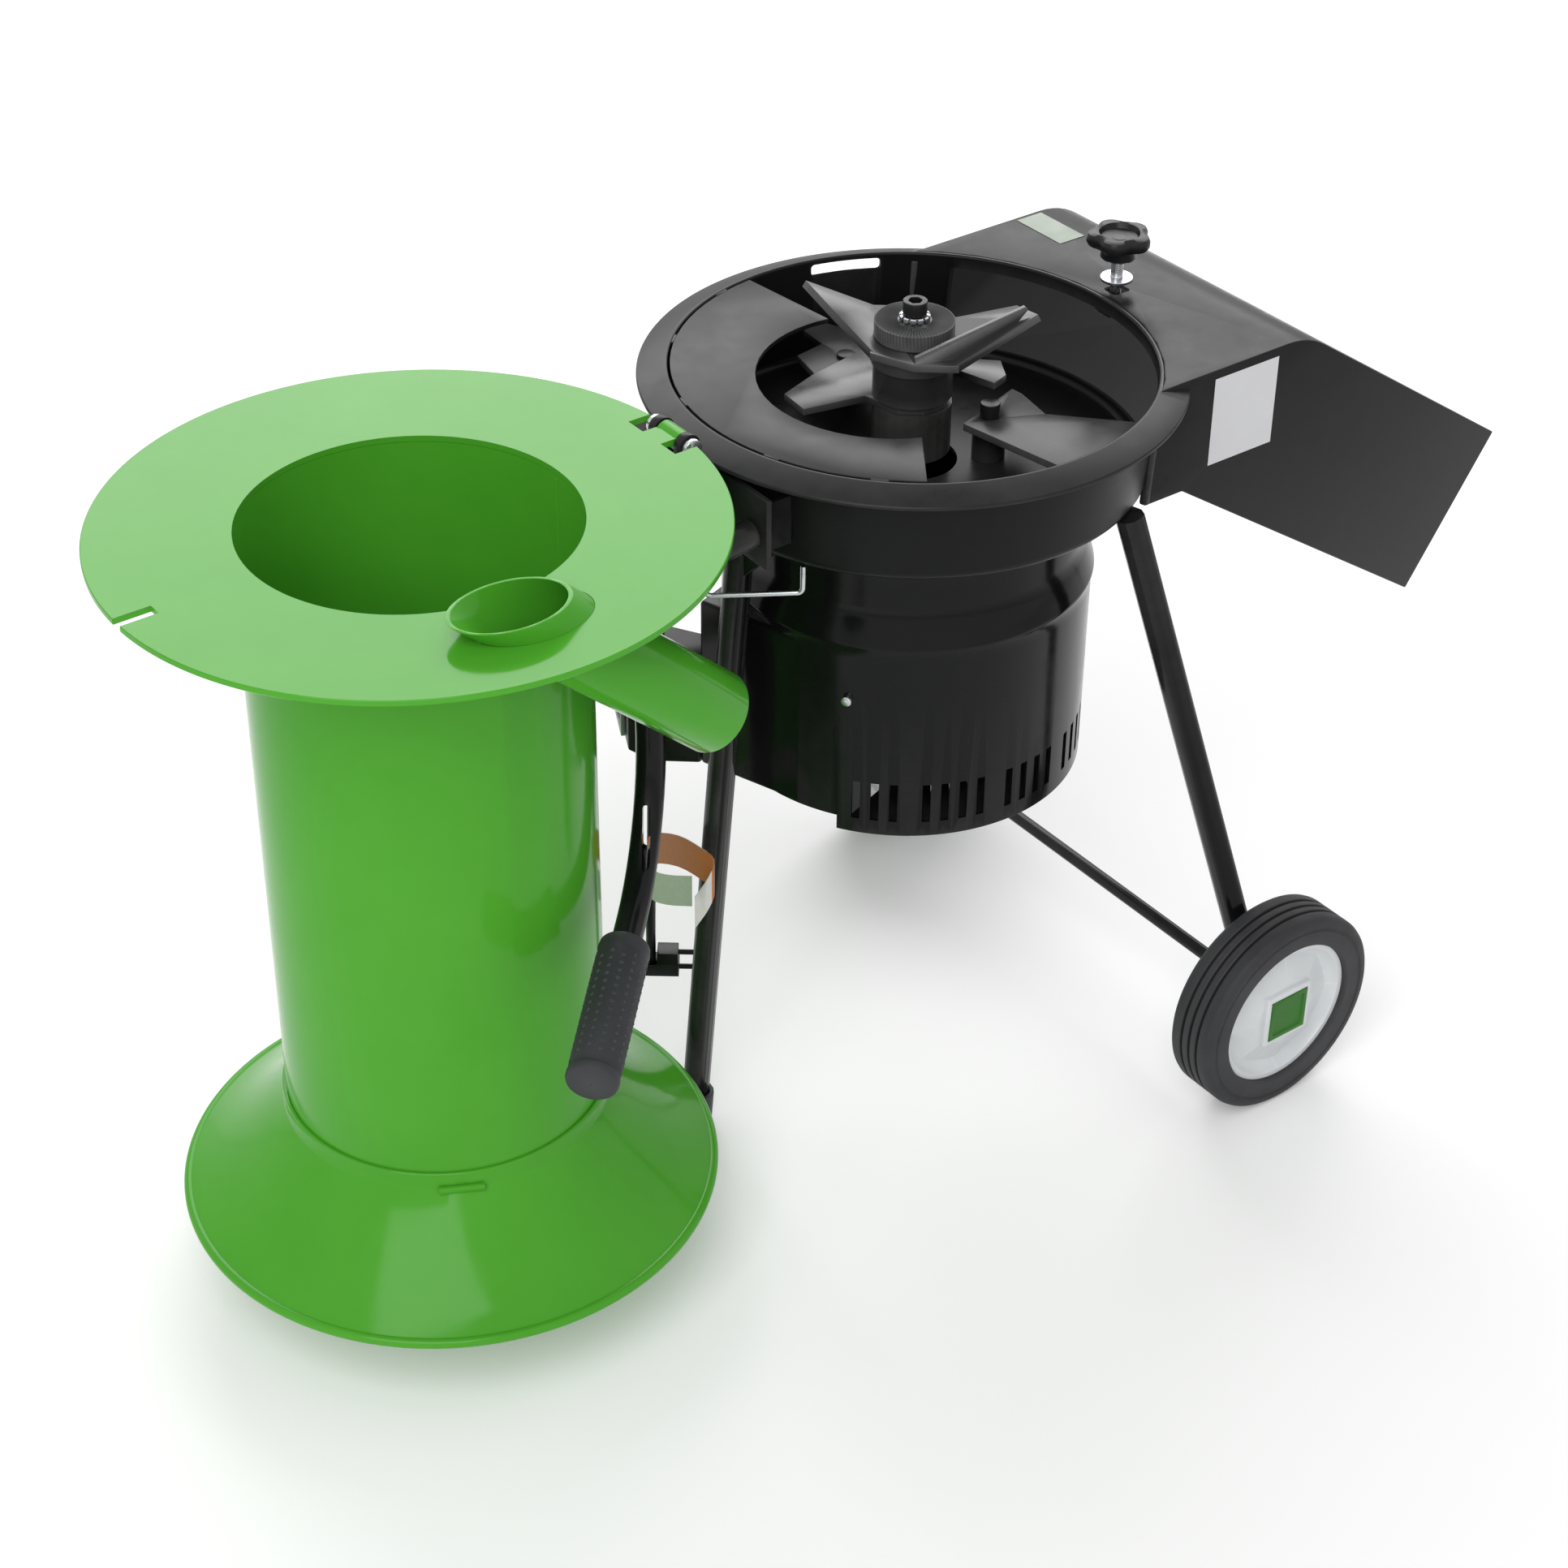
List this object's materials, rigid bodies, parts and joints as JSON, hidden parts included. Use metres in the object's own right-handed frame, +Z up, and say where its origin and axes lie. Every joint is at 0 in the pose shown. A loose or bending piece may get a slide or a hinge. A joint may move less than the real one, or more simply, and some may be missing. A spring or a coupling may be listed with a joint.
{
  "type": "garden shredder",
  "caption": "Electric garden shredder: a funnel hopper hinged over an open knife drum, with a sloping discharge hood, upright motor, wheels, pulling handles and a lobed clamp knob.",
  "frame": {"origin": "on the ground plane under the middle of the outer box of the standing machine without its cord, plug and tag", "axes": "+X from the hanging hopper to the discharge hood, +Y to the side with the switch, +Z up"},
  "size_m": [0.9942, 0.4596, 0.5998],
  "materials": {
    "black_steel": "gloss black powder coat",
    "green_paint": "gloss green powder coat",
    "zinc": "bright zinc plate",
    "knife_steel": "dark hardened steel, ground edges",
    "motor_iron": "laminated iron with copper windings, unseen",
    "cast_shield": "plain casting, unseen",
    "tyre_rubber": "matt",
    "soft_rubber": "matt, knurled grips",
    "wheel_white": "light silvery white",
    "black_plastic": "satin black",
    "signal_red": "gloss red",
    "grey_plastic": "satin grey",
    "paper": "blank paper, orange inside and white outside"
  },
  "bodies": {
    "base": {"axle": "black_steel", "base_plate": "black_steel", "chute_hood": "black_steel", "clamp_bracket": "black_steel", "clamp_pin": "zinc", "cord_gland": "black_plastic", "cord_hook": "zinc", "cord_tag": "paper", "counter_bolt_1": "zinc", "counter_bolt_2": "zinc", "counter_knife_1": "knife_steel", "counter_knife_2": "knife_steel", "drum": "black_steel", "feed_plate": "black_steel", "front_foot": "soft_rubber", "front_leg": "black_steel", "grip_left": "soft_rubber", "grip_right": "soft_rubber", "handle_left": "black_steel", "handle_right": "black_steel", "hinge_bracket": "black_steel", "hinge_pin": "zinc", "lower_bearing": "zinc", "lower_end_shield": "cast_shield", "mains_cord": "soft_rubber", "motor_cover": "black_steel", "motor_stator": "motor_iron", "plug": "black_plastic", "rear_leg_left": "black_steel", "rear_leg_right": "black_steel", "run_capacitor": "black_plastic", "switch_bezel": "grey_plastic", "switch_box": "black_steel", "upper_bearing": "zinc", "upper_end_shield": "cast_shield"},
    "hopper": {"hopper_flange": "green_paint", "hopper_tube": "green_paint", "hopper_cone": "green_paint", "branch_tube": "green_paint"},
    "rotor": {"rotor_hub": "black_steel", "knife_spacer": "black_steel", "lower_knife": "knife_steel", "upper_knife": "knife_steel", "clamp_disc": "black_steel", "spring_washer": "zinc", "cap_screw": "black_steel", "motor_shaft": "zinc", "rotor_core": "motor_iron", "cooling_fan": "black_plastic"},
    "wheel_left": {"tyre_left": "tyre_rubber", "wheel_rim_left": "wheel_white", "hub_cap_left": "green_paint"},
    "wheel_right": {"tyre_right": "tyre_rubber", "wheel_rim_right": "wheel_white", "hub_cap_right": "green_paint"},
    "clamp_bolt": {"swing_bolt": "zinc", "clamp_washer": "zinc"},
    "clamp_nut": {"clamp_knob": "black_plastic"},
    "rocker": {"switch_rocker": "signal_red"}
  },
  "joints": [
    {"name": "hopper_hinge", "type": "hinge", "parent": "base", "child": "hopper", "pos_m": [-0.12094, 0, 0.5569], "axis": [0, 1, 0], "range_deg": [0, 180]},
    {"name": "rotor_spin", "type": "hinge", "parent": "base", "child": "rotor", "pos_m": [0.06656, 0, 0.49], "axis": [0, 0, 1], "continuous": true},
    {"name": "wheel_spin_left", "type": "hinge", "parent": "base", "child": "wheel_left", "pos_m": [0.24257, 0.21, 0.078], "axis": [0, 1, 0], "continuous": true},
    {"name": "wheel_spin_right", "type": "hinge", "parent": "base", "child": "wheel_right", "pos_m": [0.24257, -0.21, 0.078], "axis": [0, 1, 0], "continuous": true},
    {"name": "clamp_swing", "type": "hinge", "parent": "base", "child": "clamp_bolt", "pos_m": [0.23957, 0, 0.543], "axis": [0, 1, 0], "range_deg": [0, 13]},
    {"name": "clamp_knob_turn", "type": "hinge", "parent": "clamp_bolt", "child": "clamp_nut", "pos_m": [0.23957, 0, 0.588], "axis": [0, 0, 1], "continuous": true},
    {"name": "switch_rocker", "type": "hinge", "parent": "base", "child": "rocker", "pos_m": [-0.10193, 0.093, 0.31], "axis": [0.4472, 0.8944, 0], "range_deg": [0, 16]}
  ]
}
